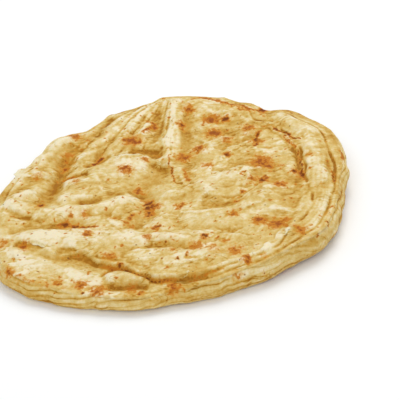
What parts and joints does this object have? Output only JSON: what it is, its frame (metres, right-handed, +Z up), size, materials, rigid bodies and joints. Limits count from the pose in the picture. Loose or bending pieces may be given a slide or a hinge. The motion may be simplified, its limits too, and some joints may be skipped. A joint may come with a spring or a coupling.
{
  "type": "paratha flatbread",
  "caption": "Round, flaky, pan-fried layered flatbread: a pressed coil of dough with a folded, blistered top and toasted spots.",
  "frame": {"origin": "on the table under the middle of the bread's box", "axes": "+Z up through the thin way of the bread; +X towards its thick side, +Y towards its gathered point"},
  "size_m": [0.1994, 0.2006, 0.0202],
  "materials": {
    "crust": "pale cream to golden fried dough with orange-brown toasted spots, slightly oily"
  },
  "bodies": {
    "root": {"paratha": "crust"}
  },
  "joints": []
}
